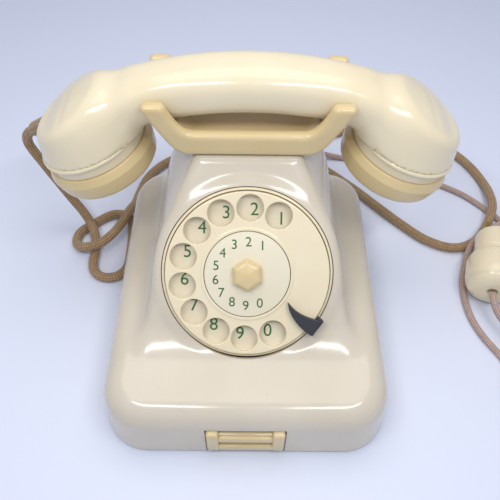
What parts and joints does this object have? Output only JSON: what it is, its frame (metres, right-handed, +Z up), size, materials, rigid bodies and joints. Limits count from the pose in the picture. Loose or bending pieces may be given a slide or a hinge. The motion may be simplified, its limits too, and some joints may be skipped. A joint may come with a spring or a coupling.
{
  "type": "rotary telephone",
  "caption": "Ivory desk telephone with a sloping rotary dial, a forked cradle holding the handset, a pull-out note tray and braided cords.",
  "frame": {"origin": "middle of the resting face under the feet, centred on the telephone without its cords", "axes": "+Z up, -Y towards the user and the dial, +X to the right along the handset"},
  "size_m": [0.371, 0.2764, 0.1552],
  "materials": {
    "ivory_shell": "glossy moulded",
    "ivory_handset": "glossy moulded",
    "ivory_warm": "glossy moulded",
    "printed_ivory": "satin with green figures",
    "charcoal_plastic": "satin moulded",
    "braid_brown": "braided textile",
    "braid_rose": "braided textile",
    "zinc_steel": "zinc plated",
    "dark_steel": "satin lacquer",
    "brass": "turned",
    "black_rubber": "matte moulded",
    "brown_phenolic": "matte laminate",
    "copper_winding": "varnished winding"
  },
  "bodies": {
    "base": {"housing": "ivory_shell", "base_plate": "dark_steel", "foot_front_left": "black_rubber", "foot_front_right": "black_rubber", "foot_rear_left": "black_rubber", "foot_rear_right": "black_rubber", "housing_screw_left": "zinc_steel", "housing_screw_right": "zinc_steel", "tray_guide": "zinc_steel", "cradle_spring": "zinc_steel", "plunger_guide": "brass", "hook_pin": "zinc_steel", "hook_bracket": "zinc_steel", "contact_stack": "brown_phenolic", "dial_case": "ivory_shell", "number_ring": "printed_ivory", "dial_mainspring": "zinc_steel", "finger_stop": "charcoal_plastic", "pulse_contacts": "brown_phenolic", "gong_left": "zinc_steel", "gong_post_left": "brass", "ringer_coil_left": "copper_winding", "gong_right": "zinc_steel", "gong_post_right": "brass", "ringer_coil_right": "copper_winding", "ringer_yoke": "dark_steel", "clapper_pin": "zinc_steel", "capacitor": "zinc_steel", "induction_coil": "copper_winding", "terminal_block": "brown_phenolic", "handset_cord_gland": "black_rubber", "line_cord_gland": "black_rubber", "handset_cord": "braid_brown", "line_cord_run": "braid_rose", "line_cord_tail": "braid_rose", "line_cord_coil": "braid_rose", "plug_cap": "ivory_handset", "plug_base": "ivory_handset", "plug_pin_left": "brass", "plug_pin_right": "brass", "plug_screw": "zinc_steel"},
    "dial": {"finger_wheel": "ivory_handset", "number_card": "printed_ivory", "centre_button": "ivory_warm", "dial_shaft": "zinc_steel", "dial_gear": "brass"},
    "governor": {"governor": "brass"},
    "tray": {"note_tray": "ivory_warm"},
    "cradle": {"cradle": "ivory_warm", "cradle_plunger": "zinc_steel", "spring_collar": "zinc_steel"},
    "hook_lever": {"hook_lever": "zinc_steel"},
    "clapper": {"clapper": "zinc_steel"},
    "handset": {"handset_body": "ivory_handset", "mouth_cap": "ivory_warm", "ear_cap": "ivory_warm", "microphone_capsule": "zinc_steel", "receiver_capsule": "zinc_steel", "handset_strain_relief": "braid_brown"}
  },
  "joints": [
    {"name": "dial_spin", "type": "hinge", "parent": "base", "child": "dial", "pos_m": [0, -0.0227, 0.0725], "axis": [0, -0.7071, 0.7071], "range_deg": [-320, 0], "stiffness_Nm_per_rad": 0.004},
    {"name": "governor_spin", "type": "hinge", "parent": "base", "child": "governor", "pos_m": [0.0224, -0.0227, 0.0725], "axis": [0, -0.7071, 0.7071], "range_deg": [0, 1920]},
    {"name": "note_tray_slide", "type": "slide", "parent": "base", "child": "tray", "axis": [0, -1, 0], "range_m": [0, 0.055]},
    {"name": "handset_lift", "type": "slide", "parent": "base", "child": "handset", "axis": [0, 0, 1], "range_m": [0, 0.06]},
    {"name": "cradle_rise", "type": "slide", "parent": "base", "child": "cradle", "axis": [0, 0, 1], "range_m": [0, 0.005], "deforming": ["cradle_spring"]},
    {"name": "hook_lever_swing", "type": "hinge", "parent": "base", "child": "hook_lever", "pos_m": [0, 0.072, 0.056], "axis": [-1, 0, 0], "range_deg": [0, 4.5]},
    {"name": "clapper_swing", "type": "hinge", "parent": "base", "child": "clapper", "pos_m": [0, -0.036, 0.018], "axis": [0, 0, 1], "range_deg": [-7, 7], "stiffness_Nm_per_rad": 0.002}
  ],
  "couplings": [
    {"joint": "governor_spin", "follows": "dial_spin", "ratio": -6},
    {"joint": "cradle_rise", "follows": "handset_lift", "ratio": 0.083333},
    {"joint": "hook_lever_swing", "follows": "handset_lift", "rad_per_m": 1.3089}
  ]
}
